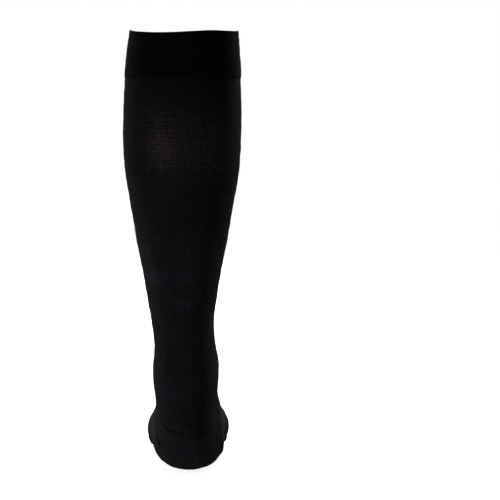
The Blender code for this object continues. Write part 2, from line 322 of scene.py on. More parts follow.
def surface(station, angle):
    """Points of the smooth surface in mm, with the origin at the centre of the rim.

    Round the cut, sideways is half_width times r·sin(angle) and the share of the way from back to
    front is widest minus depth times r·cos(angle), where r makes the powers of |cos| and |sin|,
    each times r, add up to 1, and depth is widest behind and 1 - widest in front.
    """
    cut = section_at(station)
    back_part = np.cos(angle)
    side_part = np.sin(angle)
    full = np.where(back_part > 0, cut["back_full"], cut["front_full"])
    reach = (np.abs(back_part) ** full + np.abs(side_part) ** full) ** (-1 / full)
    widest = cut["widest"] + cut["lean"] * side_part
    depth = np.where(back_part > 0, widest, 1 - widest)
    share = widest - depth * reach * back_part
    x = cut["centre"] + cut["half_width"] * reach * side_part
    y = cut["back_y"] + (cut["front_y"] - cut["back_y"]) * share
    z = cut["back_h"] + (cut["front_h"] - cut["back_h"]) * share - LEG_HEIGHT
    return np.stack((x, y, z), axis=-1)


def unit(vectors):
    """The vectors, each over its own length."""
    return vectors / np.linalg.norm(vectors, axis=-1, keepdims=True)


def outward(station, angle):
    """Unit normals of the surface, pointing out: its slope along crossed with its slope round."""
    along = surface(station + SLOPE_STEP, angle) - surface(station - SLOPE_STEP, angle)
    around = surface(station, angle + SLOPE_STEP) - surface(station, angle - SLOPE_STEP)
    return unit(np.cross(along, around))


def turn_from(angle, middle):
    """How far the angle is from the middle, in radians from -pi to pi."""
    return (angle - middle + math.pi) % (2 * math.pi) - math.pi


def bell(distance, half):
    """1 in the middle and soft on both sides: exp(-(distance / half)²)."""
    return np.exp(-(distance / half) ** 2)


def mound(station, angle, place, slant=0.0):
    """A soft mound, 1 at its middle: exp(-(distance along / half_along)² - (turn / half_round)²).

    place is its station, angle, half_round and half_along, as in the tables.
    """
    middle, aside, half_round, half_along = place
    turn = turn_from(angle, math.radians(aside))
    along = station - middle - slant * turn
    return np.exp(-(along / half_along) ** 2 - (turn / math.radians(half_round)) ** 2)


TENSION_SEED = 11
TENSION_WAVES = 36
TENSION_HEIGHT = 0.025  # mm, of each wave
TENSION_ROUND = (2, 22)  # waves in one turn
TENSION_ALONG = (9.0, 60.0)  # mm from crest to crest


def uneven_tension(station, angle):
    """Faint swellings of a knit under uneven tension, in mm.

    They are a sum of plane waves, height·cos(turns·angle + 2·pi·station / length + phase), with
    seeded turns, lengths, directions and phases.
    """
    draw = np.random.default_rng(TENSION_SEED)
    turns = draw.integers(*TENSION_ROUND, TENSION_WAVES) * draw.choice((-1, 1), TENSION_WAVES)
    lengths = draw.uniform(*TENSION_ALONG, TENSION_WAVES)
    phases = draw.uniform(0, 2 * math.pi, TENSION_WAVES)
    total = np.zeros(np.broadcast(station, angle).shape)
    for turn, along, phase in zip(turns, lengths, phases):
        total += np.cos(turn * angle + 2 * math.pi * station / along + phase)
    return TENSION_HEIGHT * total


def creases(station, angle):
    """How far the worn cloth stands proud in mm: creases, swells and the uneven tension."""
    total = uneven_tension(station, angle)
    for *place, height, slant in CREASES.values():
        total += height * mound(station, angle, place, slant)
    for *place, height in SWELLS.values():
        total += height * mound(station, angle, place)
    return total


def patch_sum(station, angle, column):
    """Sum of the patches, each times the value in its LIGHT or WARM column."""
    total = np.zeros(np.broadcast(station, angle).shape)
    for row in OPENED_KNIT_AND_PAINTED_LIGHT.values():
        total += row[column] * mound(station, angle, row[:LIGHT])
    return total


DARKEST = 0.05  # least share of its named tone that the knit keeps in a patch


def tone(station, angle):
    """How light the knit is, painted light and shade included: the named tones, straight between
    cuts, times 1 + the patches.

    The factor is never under DARKEST.
    """
    along = np.interp(station, [STATION[name] for name in TONES], list(TONES.values()))
    return along * np.maximum(1 + patch_sum(station, angle, LIGHT), DARKEST)


def warmth(station, angle):
    """How warm the black is, from 0 to 1: the sum of the patches' warmth."""
    return np.clip(patch_sum(station, angle, WARM), 0, 1)


RIM_LIFTS = {  # where the rim stands higher than its waves: angle, reach, mm
    "inner": (84.0, 30.0, 1.0),
    "inner_corner": (95.0, 9.0, 0.8),
    "outer": (-92.0, 14.0, 0.5),
    "outer_back": (-46.0, 26.0, 0.42),
    "inner_back": (31.0, 12.0, 0.34),
}


def rim_line(angle, wave, waves):
    """How far the rim lies below the origin: -wave·sin(waves·angle), less a bell for each lift."""
    line = -wave * np.sin(waves * angle)
    for middle, reach, lift in RIM_LIFTS.values():
        turn = turn_from(angle, math.radians(middle))
        line = line - lift * bell(turn, math.radians(reach))
    return line


LAID_IN_PITCH = 2.6  # mm between the elastic threads laid into the band
LAID_IN_HEIGHT = 0.11
UNDER_RIM = 5.2  # mm from the rim to the line where the band's fold was drawn in
LINE_HEIGHT = -0.32
LINE_HALF = 0.9  # mm from the line's middle to its edge


def band_relief(station, angle, step):
    """The band's step over the leg, its creases, its laid-in threads and the line under its fold.

    The threads are height·cos²(pi·station / pitch), and the line is a soft trough.
    """
    threads = LAID_IN_HEIGHT * np.cos(math.pi * station / LAID_IN_PITCH) ** 2
    line = LINE_HEIGHT * bell(station - UNDER_RIM, LINE_HALF)
    return step + (creases(station, angle) + threads + line)


SUTURE_HEIGHT = -0.24  # mm, of the trough
SUTURE_LIP = 0.18  # mm, of the lips on either side of it
SUTURE_HALF = 1.2  # mm from the middle of a trough or lip to its edge
SUTURE_LIP_OFF = 2.8  # mm from the trough to a lip
SUTURE_END = math.radians(56)
SUTURE_FADE = math.radians(22)
SUTURE_PAINTED_SHADE = -0.42  # painted shade: how much darker the knit is in the trough
SUTURE_PAINTED_LIGHT = 0.16  # and painted highlight: how much lighter on the lower lip


def pocket_reach(angle, reach, corner):
    """Reach of the heel pocket from its corners: a cosine that is 0 there and reach behind."""
    return reach * np.cos(np.clip(angle / corner, -1, 1) * math.pi / 2)


def pocket_edges(angles, shape):
    """Stations of the heel pocket's upper and lower edge, on either side of the gore's corners."""
    return (STATION["gore"] - pocket_reach(angles, shape.pocket_rise / MM, shape.pocket_corner),
            STATION["gore"] + pocket_reach(angles, shape.pocket_run / MM, shape.pocket_corner))


def gore_line(angle, shape):
    """Station of the gore line between the pocket's corners.

    It rises over them by the pocket's reach at the gore rise, and runs lower at the inner side and
    higher at the outer one by gore_lean·sin(pi·angle / corner).
    """
    corner = shape.pocket_corner
    return (STATION["gore"] - pocket_reach(angle, shape.gore_rise / MM, corner)
            + shape.gore_lean / MM * np.sin(math.pi * np.clip(angle / corner, -1, 1)))


def suture(station, angle, shape):
    """Marks of the suture along the gore line: its trough, its upper lip and its lower lip.

    Each is a bell from its own line, and all fade out over SUTURE_FADE before SUTURE_END on either
    side.
    """
    turn = turn_from(angle, 0.0)
    fade = np.clip((SUTURE_END - np.abs(turn)) / SUTURE_FADE, 0, 1)
    off = station - gore_line(turn, shape)
    return [fade * bell(off - side * SUTURE_LIP_OFF, SUTURE_HALF) for side in (0, -1, 1)]


def heel_relief(station, angle, shape):
    """The heel's creases and its suture: a trough along the gore line between two low lips."""
    trough, upper, lower = suture(station, angle, shape)
    return creases(station, angle) + SUTURE_HEIGHT * trough + SUTURE_LIP * (upper + lower)


def heel_tone_and_painted_light(station, angle, shape):
    """The tone of the heel, with painted shade in the suture's trough and a painted highlight on
    its lower lip.
    """
    trough, _, lower = suture(station, angle, shape)
    return tone(station, angle) * (1 + SUTURE_PAINTED_SHADE * trough + SUTURE_PAINTED_LIGHT * lower)


# Walls of cloth

def eased(count, crowding):
    """Shares from 0 to 1 that crowd towards both ends: t - crowding·sin(2·pi·t)/(2·pi)."""
    t = np.linspace(0, 1, count + 1)
    return t - crowding * np.sin(2 * math.pi * t) / (2 * math.pi)


def profile(share, shift, depth):
    """Rows of a wall's profile: share of its length, shift past that in mm, and depth in mm."""
    return np.stack(np.broadcast_arrays(share, shift, depth), axis=1)


def wall_rows(shares, wall):
    """A plain wall's profile: down its outer face and back up its inner one."""
    return np.concatenate((profile(shares, 0, 0), profile(shares, 0, wall)[::-1]))


FOLD_STEPS = 10
HEM_STEPS = 4


def band_rows(shares, wall, hem):
    """The doubled band's profile: a wall with a round fold at the rim and a soft lower edge.

    The fold is a half circle as wide as the wall, and the hem a quarter circle of radius hem. The
    outer face runs between them and the inner face down to the edge.
    """
    fold = wall / 2
    half = np.linspace(0, math.pi, FOLD_STEPS + 1)[1:-1]
    turn = profile(0, fold - fold * np.sin(half), fold + fold * np.cos(half))
    quarter = np.linspace(0, math.pi / 2, HEM_STEPS + 1)[1:]
    lower = profile(1, hem * np.sin(quarter) - hem, hem - hem * np.cos(quarter))
    outer = profile(shares, fold * (1 - shares) - hem * shares, 0)
    inner = profile(shares, fold * (1 - shares), wall)[::-1]
    return np.concatenate((outer, lower, inner, turn))


def wall_grid(rows, start, end, angles, relief):
    """Stations and points of a wall: the surface moved out by the relief, less the depth."""
    shares, shifts, depths = (column[:, None] for column in rows.T)
    stations = start + (end - start) * shares + shifts
    around = np.broadcast_to(angles, stations.shape)
    lift = relief(stations, around) - depths
    points = surface(stations, around) + outward(stations, around) * lift[..., None]
    return stations, points


def profile_shares(points):
    """Each row's share of the way round the closed profile, measured down the middle column."""
    line = points[:, points.shape[1] // 2]
    steps = np.linalg.norm(np.diff(line, axis=0, append=line[:1]), axis=1)
    return np.concatenate(([0.0], np.cumsum(steps))) / steps.sum()


def corners_of(rows, columns):
    """The (row, column) of the four corners of every quad between these lines of a grid.

    The first two corners lie on one column and the next two on the next, so that a quad of an
    outer face, whose rows run down the stocking, points outwards.
    """
    r, c = (each.ravel() for each in np.meshgrid(rows, columns, indexing="ij"))
    return np.stack((r, r + 1, r + 1, r), axis=1), np.stack((c, c, c + 1, c + 1), axis=1)


def floats(values):
    """The values one after the other, as a mesh takes them."""
    return values.astype(np.float32).ravel()


def cloth_mesh(name, stations, points, angles, r, c, gauge, closed_round, closed_profile,
               shade=tone):
    """A mesh of the grid's quads, with its knit map, bake map, tone with painted light and shade,
    and warmth.

    The gauge is the needles round and the height of a course. The knit map is wales across,
    angle·needles / (2·pi), and courses along, station / course. The bake map is the columns' share
    across and the profile's share along. Where the last row or column joins the first, the maps
    run on past it instead of jumping back.
    """
    row_count, column_count = stations.shape
    faces = (r % row_count) * column_count + c % column_count
    mesh = bpy.data.meshes.new(name)
    mesh.vertices.add(points.size // 3)
    mesh.vertices.foreach_set("co", floats(points * MM))
    mesh.loops.add(faces.size)
    mesh.loops.foreach_set("vertex_index", faces.astype(np.int32).ravel())
    mesh.polygons.add(len(faces))
    mesh.polygons.foreach_set("loop_start", np.arange(0, faces.size, 4, dtype=np.int32))
    mesh.update(calc_edges=True)

    needles, course = gauge
    turns = np.append(angles, angles[0] + 2 * math.pi) if closed_round else angles
    wales = turns[c] * needles / (2 * math.pi)
    courses = stations[r % row_count, c % column_count] / course
    across = c / (column_count if closed_round else column_count - 1)
    along = profile_shares(points)[r] if closed_profile else r / (row_count - 1)
    for map_name, u, v in ((KNIT_MAP, wales, courses), (BAKE_MAP, across, along)):
        layer = mesh.uv_layers.new(name=map_name)
        layer.uv.foreach_set("vector", floats(np.stack((u, v), axis=-1)))
    around = np.broadcast_to(angles, stations.shape)
    for mark, values in ((TONE_AND_LIGHT_MARK, shade), (WARM_MARK, warmth)):
        attribute = mesh.attributes.new(mark, "FLOAT", "POINT")
        attribute.data.foreach_set("value", floats(values(stations, around)))
    return mesh


def tube_mesh(name, rows, start, end, angles, relief, gauge):
    """A tube of cloth: the closed profile carried all the way round."""
    stations, points = wall_grid(rows, start, end, angles, relief)
    r, c = corners_of(np.arange(stations.shape[0]), np.arange(stations.shape[1]))
    return cloth_mesh(name, stations, points, angles, r, c, gauge, True, True)


def panel_mesh(name, rows, start, end, angles, relief, gauge, shade):
    """A panel of cloth: the closed profile carried between two columns, with a strip at each."""
    stations, points = wall_grid(rows, start, end, angles, relief)
    row_count, column_count = stations.shape
    r, c = corners_of(np.arange(row_count), np.arange(column_count - 1))
    down = np.arange(row_count // 2 - 1)
    up = row_count - 1 - down
    strip = np.stack((down, up, up - 1, down + 1), axis=1)
    r = np.concatenate((r, strip, strip[:, ::-1]))
    c = np.concatenate((c, 0 * strip, 0 * strip + column_count - 1))
    return cloth_mesh(name, stations, points, angles, r, c, gauge, False, True, shade)


def cap_mesh(name, rows, start, end, angles, relief, gauge):
    """A closed toe: from the inner tip up its inner face, over its edge and out to the tip.

    The first and last rings are drawn in to their own middles, and their points are merged.
    """
    half = len(rows) // 2
    turned = np.concatenate((rows[half:], rows[:half]))
    stations, points = wall_grid(turned, start, end, angles, relief)
    first, last = (np.broadcast_to(ring.mean(axis=0), ring.shape)[None] for ring in points[[0, -1]])
    points = np.concatenate((first, points, last))
    stations = np.concatenate((stations[:1], stations, stations[-1:]))
    r, c = corners_of(np.arange(len(stations) - 1), np.arange(stations.shape[1]))
    mesh = cloth_mesh(name, stations, points, angles, r, c, gauge, True, False)
    merge_doubles(mesh)
    return mesh


MERGE_DISTANCE = 1e-6  # m


def merge_doubles(mesh):
    """Merges the points that lie in one place."""
    work = bmesh.new()
    work.from_mesh(mesh)
    bmesh.ops.remove_doubles(work, verts=work.verts, dist=MERGE_DISTANCE)
    work.to_mesh(mesh)
    work.free()


def angles_round():
    """Angles of the columns of a whole tube, from the front round by the outer side."""
    return (np.arange(COLUMNS_ROUND) - COLUMNS_ROUND // 2) * COLUMN_STEP


# Seam threads

THREAD_SIDES = 6
STEPS_A_STITCH = 8
CHAIN_SWING = 0.55  # mm
PLY_REST = 0.4  # radii that a ply's middle stands proud on the average,
PLY_RISE = 0.6  # and how many more where it crosses the seam


def thread_grid(seam, reach, stitches, radius, swing):
    """Rings of a thread that swings from side to side of a seam, as one ply of a chain.

    It runs from the angle -reach to reach, and is closed where that is right round. With t the
    count of stitches so far, its middle lies at the seam's station plus swing·sin(2·pi·t) and
    stands radius·(PLY_REST + PLY_RISE·cos(4·pi·t)) proud, so it rises where it crosses the seam.
    Each ring is a circle across its way.
    """
    closed = reach == math.pi
    t = np.arange(stitches * STEPS_A_STITCH + (not closed)) / STEPS_A_STITCH
    angle = 2 * reach * t / stitches - reach
    station = seam(angle) + swing * np.sin(2 * math.pi * t)
    out = outward(station, angle)
    lift = radius * (PLY_REST + PLY_RISE * np.cos(4 * math.pi * t)) + creases(station, angle)
    middle = surface(station, angle) + out * lift[:, None]
    if closed:
        ahead = unit(np.roll(middle, -1, axis=0) - np.roll(middle, 1, axis=0))
    else:
        ahead = unit(np.gradient(middle, axis=0))
    side = unit(np.cross(out, ahead))
    rise = np.cross(ahead, side)
    ring = np.arange(THREAD_SIDES) * 2 * math.pi / THREAD_SIDES
    spokes = np.cos(ring)[:, None] * side[:, None] + np.sin(ring)[:, None] * rise[:, None]
    sizes = np.full(len(t), radius)
    if not closed:
        sizes[[0, -1]] = 0.0
    return middle[:, None] + spokes * sizes[:, None, None]


def thread_mesh(name, seam, reach, stitches, radius):
    """Two plies of a chain along a seam, one swinging against the other.

    The rings run round their thread so that its quads, taken backwards, point outwards.
    """
    plies = [thread_grid(seam, reach, stitches, radius, swing)
             for swing in (CHAIN_SWING, -CHAIN_SWING)]
    ring_count = len(plies[0])
    r, c = corners_of(np.arange(stitches * STEPS_A_STITCH), np.arange(THREAD_SIDES))
    one = (r % ring_count) * THREAD_SIDES + c % THREAD_SIDES
    faces = np.concatenate((one, one + ring_count * THREAD_SIDES))[:, ::-1]
    mesh = bpy.data.meshes.new(name)
    mesh.from_pydata((np.concatenate(plies).reshape(-1, 3) * MM).tolist(), [], faces.tolist())
    merge_doubles(mesh)
    return mesh


# Settings

def length(name, description, millimetres):
    """A length property in metres, from its default in millimetres."""
    return FloatProperty(name=name, description=description, default=millimetres * MM,
                         min=0.0, precision=5, unit="LENGTH")


def colour(name, description, default):
    """A linear colour property."""
    return FloatVectorProperty(name=name, description=description, default=default,
                               size=3, min=0.0, max=1.0, subtype="COLOR")


def power(name, description, watts):
    """A lamp's power in watts."""
    return FloatProperty(name=name, description=description, default=watts, min=0.0,
                         unit="POWER")


class StockingShape(bpy.types.PropertyGroup):
    """Sizes of the pieces of cloth."""
    band_height: length("Band height", "Height of the doubled band at the knee", 43.0)
    band_wall: length("Band wall", "Thickness of the doubled band", 2.0)
    band_step: length("Band step", "How far the band stands proud of the leg", 0.4)
    leg_wall: length("Leg wall", "Thickness of the leg's and the foot's knit", 1.2)
    pocket_wall: length("Pocket wall", "Thickness of the knit at heel and toe", 1.6)
    rim_wave: length("Rim wave", "Rise and fall of the rim round the knee", 0.9)
    rim_waves: IntProperty(name="Rim waves", description="Waves of the rim round the knee",
                           default=3, min=0)
    pocket_rise: length("Pocket rise", "Reach of the heel pocket up the ankle", 31.0)
    pocket_run: length("Pocket run", "Reach of the heel pocket under the heel", 55.0)
    gore_rise: length("Gore rise", "Rise of the gore line at the back over its corners", 8.2)
    gore_lean: length("Gore lean", "How much lower the gore line runs at the inner side", 2.8)
    pocket_corner: FloatProperty(
        name="Pocket corner", description="Angle from the heel's back to the pocket's corners",
        default=math.radians(99.6), min=0.0, max=math.pi, subtype="ANGLE")
    thread: length("Thread", "Radius of each ply of the seam threads", 0.26)
    gore_thread: length("Gore thread", "Radius of each ply along the gore line", 0.20)


class StockingKnit(bpy.types.PropertyGroup):
    """The knit and its yarn."""
    needles: IntProperty(name="Needles", description="Wales round the stocking",
                         default=360, min=12)
    course: length("Course", "Height of a course of the leg's knit", 0.62)
    band_course: length("Band course", "Height of a course of the band's knit", 0.80)
    relief: length("Relief", "How far a stitch stands out of the gaps beside it", 0.16)
    leg_colour: colour("Leg", "Yarn of the leg and the foot", (0.0118, 0.0100, 0.0140))
    band_colour: colour("Band", "Yarn of the doubled band", (0.0084, 0.0058, 0.0063))
    pocket_colour: colour("Pocket", "Yarn of the heel and the toe", (0.0124, 0.0104, 0.0146))
    thread_colour: colour("Thread", "Yarn of the chains at the band and the toe",
                          (0.0046, 0.0036, 0.0041))
    warm_colour: colour("Opened knit", "Knit where the leg opens it most",
                        (0.0146, 0.0114, 0.0106))
    slack: FloatProperty(name="Stretch", description="Worn girth over the girth lying flat",
                         default=1.3, min=1.0, max=1.6)


class StockingStage(bpy.types.PropertyGroup):
    """Floor, lamps and camera."""
    floor_colour: colour("Floor", "Pale floor", (0.86, 0.86, 0.86))
    key: power("Key", "Main lamp, behind the calf at its outer side", 5.2)
    key_behind: power("Key behind", "Second main lamp, nearer the back of the calf", 4.4)
    low_key: power("Low key", "Small lamp near the heel, below the main one", 2.6)
    fill: power("Fill", "Lamp behind the calf at its inner side", 4.3)
    front: power("Front", "Lamp before the toes", 40.0)
    outer_front: power("Outer front", "Lamp before the outer side", 5.0)
    inner_front: power("Inner front", "Lamp before the inner side", 8.0)
    low_outer: power("Low outer", "Small lamp low beside the outer ankle", 1.6)
    low_inner: power("Low inner", "Small lamp low beside the inner ankle", 1.2)
    overhead: power("Overhead", "Lamp over the rim", 6.0)
    bounce: power("Bounce", "Light thrown up from the floor", 2.4)
    distance: FloatProperty(name="Camera distance", description="From the camera to the leg",
                            default=3.0, min=0.5, unit="LENGTH")


# Materials

SHEEN_TINT = (0.96, 0.86, 1.0, 1.0)
SHEEN_ROUGHNESS = 0.45
SOFT, FINE = 2.0, 3.0  # octaves of a noise


def adds(operation, turned=False):
    """A method that adds a Math node with the flow as its first value, or its last if turned."""
    if turned:
        return lambda flow, other: flow.math(operation, other, flow)
    return lambda flow, *others: flow.math(operation, flow, *others)


class Flow:
    """A number on its way through a material: arithmetic on it adds Math nodes."""

    def __init__(self, graph, socket):
        self.graph, self.socket = graph, socket

    def math(self, operation, *values):
        """Adds a Math node that takes the values in turn."""
        return self.graph.node("ShaderNodeMath", {"operation": operation},
                               dict(enumerate(values)))

    __add__ = __radd__ = adds("ADD")
    __sub__, __rsub__ = adds("SUBTRACT"), adds("SUBTRACT", turned=True)
    __mul__ = __rmul__ = adds("MULTIPLY")
    __truediv__ = adds("DIVIDE")
    __pow__ = adds("POWER")
    __abs__ = adds("ABSOLUTE")
    fraction = adds("FRACT")
    cosine = adds("COSINE")
    sine = adds("SINE")
    at_least = adds("MAXIMUM")


class Graph:
    """A new material and its nodes."""

    def __init__(self, name):
        self.material = bpy.data.materials.new(name)
        self.material.use_nodes = True
        self.tree = self.material.node_tree
        self.shader = self.tree.nodes["Principled BSDF"]

    def feed(self, target, value):
        """Links a flow to a socket, or sets a plain value on it."""
        if isinstance(value, Flow):
            self.tree.links.new(value.socket, target)
        else:
            target.default_value = value

    def node(self, kind, settings=None, inputs=None, output=0):
        """Adds a node of that type: its settings first, then the values or links of its inputs."""
        made = self.tree.nodes.new(kind)
        for name, value in (settings or {}).items():
            setattr(made, name, value)
        for key, value in (inputs or {}).items():
            self.feed(made.inputs[key], value)
        return Flow(self, made.outputs[output])

    def noise(self, place, scale, detail=SOFT):
        """Soft noise about 0, from -0.5 to 0.5."""
        return self.node("ShaderNodeTexNoise", inputs={"Vector": place, "Scale": scale,
                                                       "Detail": detail}) - 0.5

    def blend(self, kind, factor, first, second):
        """A colour mixed from two, each a flow or three numbers.

        A Mix node takes colours at its inputs 6 and 7 and gives one at its output 2.
        """
        sides = [value if isinstance(value, Flow) else (*value, 1.0) for value in (first, second)]
        return self.node("ShaderNodeMix", {"data_type": "RGBA", "blend_type": kind},
                         {0: factor, 6: sides[0], 7: sides[1]}, output=2)

    def mark(self, name):
        """The value of a mesh's attribute."""
        return self.node("ShaderNodeAttribute", {"attribute_name": name}, output="Fac")

    def parts(self, place, count):
        """The first numbers of a place: x, y and z."""
        return [self.node("ShaderNodeSeparateXYZ", inputs={0: place}, output=axis)
                for axis in range(count)]

    def grey(self, value):
        """A grey of that value."""
        return self.node("ShaderNodeCombineColor", inputs={0: value, 1: value, 2: value})

    def shade(self, **inputs):
        """Sets or links the shader's sockets, named with _ for each space."""
        for name, value in inputs.items():
            self.feed(self.shader.inputs[name.replace("_", " ")], value)

    def yarn(self, colour, shade, height, relief, roughness, specular, sheen):
        """Finishes black yarn: its colour times a shade, and the relief of a height."""
        bump = self.node("ShaderNodeBump", inputs={"Strength": 1.0, "Distance": relief,
                                                   "Height": height})
        self.shade(Base_Color=self.blend("MULTIPLY", 1.0, colour, self.grey(shade)),
                   Roughness=roughness, Normal=bump, Specular_IOR_Level=specular,
                   Sheen_Weight=sheen, Sheen_Roughness=SHEEN_ROUGHNESS, Sheen_Tint=SHEEN_TINT)


def stitch_height(wale, course):
    """Height of plain knit, from 0 in the gaps to 1 on the yarn.

    across is the distance from the wale's middle, 0 to 0.5. Each stitch has a leg at a quarter on
    either side, 1 - (4·across - 1)², and the legs rise outwards as a V, so along the wale the
    yarn is 1 - (2·fraction(course - across) - 1)².
    """
    across = abs(wale.fraction() - 0.5)
    leg = 1.0 - (across * 4.0 - 1.0) ** 2.0
    loop = 1.0 - ((course - across).fraction() * 2.0 - 1.0) ** 2.0
    return leg * loop


# Cells of noise a metre: of the stitches' wandering, of the tension that fades ribs and laid-in
# threads in and out, of soft clouds of tone, of the yarn's fuzz and of a thread's unevenness.
CELLS = {"wander": 90.0, "tension": 38.0, "cloud": 30.0, "fuzz": 2600.0, "thread": 220.0}
# Wales from rib to rib, and courses from one laid-in thread and one ripple to the next.
PITCH = {"rib": 3.0, "laid_in": 4.0, "ripple": 5.8}
# Wales or courses that each wanders.
WANDER = {"wale": 0.5, "course": 0.7, "ripple": 4.0}
# Wales and courses in a slub, and in a streak down the leg or round it.
SLUB = (2.6, 2.8)
STREAKS = ((2.2, 240.0), (150.0, 2.4))
# How much each counts in the shade: gap and yarn paint shade into the gaps between stitches and
# light on the yarn; the streaks, slubs, clouds and ripples are the yarn's uneven tone, and slubs
# count more where the knit is opened.
SHADE = {"gap": 0.70, "yarn": 0.40, "streak": 0.80, "slub": 1.9, "opened_slub": 2.2,
         "cloud": 0.60, "ripple": 0.24, "least": 0.25}
# How much each counts in the relief, and in the roughness.
RELIEF = {"stripe": 2.0, "slub": 2.5, "fuzz": 0.15}
ROUGHNESS = {"gap": 0.84, "yarn": -0.10, "slub": 0.12}
KNIT_SPECULAR, KNIT_SHEEN = 0.08, 0.02


def knit_material(name, knit, base, relief, rib, laid_in, gloss):
    """Black knit: stitches, ribs and laid-in threads in relief, painted lighter on their crests and
    darker between them as shade, with streaks of tone and the mesh's tone, which holds painted
    light and shade.

    A rib is cosine(2·pi·wale / pitch) and a laid-in thread the same along the courses. Both
    fade in and out with a soft noise, as an uneven tension makes them. A streak is noise at a
    place on a circle, radius·(sine, cosine)(wale / radius), so that it closes round the tube.
    """
    graph = Graph(name)
    wale, course = graph.parts(graph.node("ShaderNodeUVMap", {"uv_map": KNIT_MAP}), 2)
    place = graph.node("ShaderNodeTexCoord", output="Object")

    radius = knit.needles / (2 * math.pi)
    turn = wale / radius
    aside, ahead = turn.sine(), turn.cosine()

    def streak(wales, courses, detail=SOFT):
        spread = graph.node("ShaderNodeCombineXYZ", inputs={
            0: aside * (radius / wales), 1: ahead * (radius / wales), 2: course / courses})
        return graph.noise(spread, 1.0, detail)

    wander = graph.noise(place, CELLS["wander"])
    stitch = stitch_height(wale + wander * WANDER["wale"], course + wander * WANDER["course"])
    tension = graph.noise(place, CELLS["tension"]) + 0.5
    ribs = (wale * (2 * math.pi / PITCH["rib"])).cosine() * tension * rib
    threads = (course * (2 * math.pi / PITCH["laid_in"])).cosine() * (1.0 - tension) * laid_in
    slub = streak(*SLUB, FINE)
    ripple = ((course + wander * WANDER["ripple"]) * (2 * math.pi / PITCH["ripple"])).cosine()
    opened = graph.mark(WARM_MARK)
    down, across = (streak(*size) for size in STREAKS)
    uneven = (down * SHADE["streak"] + across * SHADE["streak"]
              + slub * (opened * SHADE["opened_slub"] + SHADE["slub"])
              + graph.noise(place, CELLS["cloud"], FINE) * SHADE["cloud"]
              + ripple * opened * SHADE["ripple"])
    # Painted shade: darker in the gaps between stitches and between ribs and threads, times the
    # mesh's tone with its painted light and shade.
    shade = ((stitch * SHADE["yarn"] + SHADE["gap"]) * (ribs + 1.0 + threads)
             * (uneven + 1.0).at_least(SHADE["least"]) * graph.mark(TONE_AND_LIGHT_MARK))
    height = (stitch + ribs * RELIEF["stripe"] + threads * RELIEF["stripe"]
              + slub * RELIEF["slub"] + graph.noise(place, CELLS["fuzz"]) * RELIEF["fuzz"])
    graph.yarn(graph.blend("MIX", opened, base, knit.warm_colour), shade, height, relief,
               stitch * ROUGHNESS["yarn"] + ROUGHNESS["gap"] + slub * ROUGHNESS["slub"],
               KNIT_SPECULAR * gloss, KNIT_SHEEN * gloss)
    return graph.material


THREAD_TWIST = 900.0  # bands of ply a metre along the thread
THREAD_RELIEF = 0.05  # mm
# Painted shade: the thread is darker between its ply bands and lighter on them.
THREAD_SHADE = {"gap": 0.7, "band": 0.4, "noise": 0.4}
THREAD_ROUGHNESS = {"gap": 0.7, "band": 0.1}
THREAD_SPECULAR, THREAD_SHEEN = 0.1, 0.02


def thread_material(name, base):
    """Black covered thread: its twist shows as slanted bands in relief, painted lighter on the
    bands and darker between them as shade.

    The twist is cosine(2·pi·THREAD_TWIST·(x + y + z)), brought to 0 to 1.
    """
    graph = Graph(name)
    place = graph.node("ShaderNodeTexCoord", output="Object")
    x, y, z = graph.parts(place, 3)
    twist = ((x + y + z) * (2 * math.pi * THREAD_TWIST)).cosine() * 0.5 + 0.5
    shade = (twist * THREAD_SHADE["band"] + THREAD_SHADE["gap"]
             + graph.noise(place, CELLS["thread"]) * THREAD_SHADE["noise"])
    graph.yarn(base, shade, twist, THREAD_RELIEF * MM,
               twist * THREAD_ROUGHNESS["band"] + THREAD_ROUGHNESS["gap"],
               THREAD_SPECULAR, THREAD_SHEEN)
    return graph.material


# Pieces

BAND_ROWS = 100
HEEL_ROWS = (40, 66)  # above and below the gore line
CROWDING = 0.3  # how much rows crowd towards the edges of a piece,
HEEL_CROWDING = 0.7  # and in the heel towards its gore line too
# Smooth pieces: mesh, rows, the cut where the girth is taken, knit, slot and solid.
PLAIN = {
    "leg_knit": (tube_mesh, 190, "calf", "fine_black_knit", "leg_knit", "leg_tube"),
    "foot_knit": (tube_mesh, 130, "ball", "fine_black_knit", "leg_knit", "foot_tube"),
    "toe_knit": (cap_mesh, 50, "toe_seam", "thick_black_knit", "pocket_knit", "toe_cap"),
}


def link(data):
    """An object in the scene for a mesh, lamp or camera, with its name."""
    made = bpy.data.objects.new(data.name, data)
    bpy.context.scene.collection.objects.link(made)
    return made


def link_piece(mesh, material):
    """A piece for the mesh that rides on the stocking's body and takes the material."""
    mesh.materials.append(material)
    mesh.shade_smooth()
    piece = link(mesh)
    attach(piece, BODY)
    return piece


def check_on_node(piece, node):
    """Stops the work if the piece reaches further past its solid's box than cloth may."""
    places = np.empty(len(piece.data.vertices) * 3)
    piece.data.vertices.foreach_get("co", places)
    places = places.reshape(-1, 3)
    low, high = (np.array(corner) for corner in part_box(node))
    past = max((low - places.min(axis=0)).max(), (places.max(axis=0) - high).max())
    if past > MOST_OFF_NODE * MM:
        raise RuntimeError(f"{piece.name} reaches {past / MM:.1f} mm past {node}")


def girth(station):
    """Way round the surface at a station, in mm."""
    round_once = np.linspace(0, 2 * math.pi, COLUMNS_ROUND + 1)
    ring = surface(np.full(COLUMNS_ROUND + 1, station), round_once)
    return np.linalg.norm(np.diff(ring, axis=0), axis=1).sum()


# Each knit: the setting of its colour, its share of the relief, the depth of its ribs and of its
# laid-in threads, and its gloss.
FINISHES = {
    "fine_black_knit": ("leg_colour", 1.0, 0.14, 0.10, 1.0),
    "thick_black_knit": ("pocket_colour", 1.3, 0.22, 0.08, 1.0),
    "dense_black_knit": ("band_colour", 1.0, 0.20, 0.38, 0.6),
}


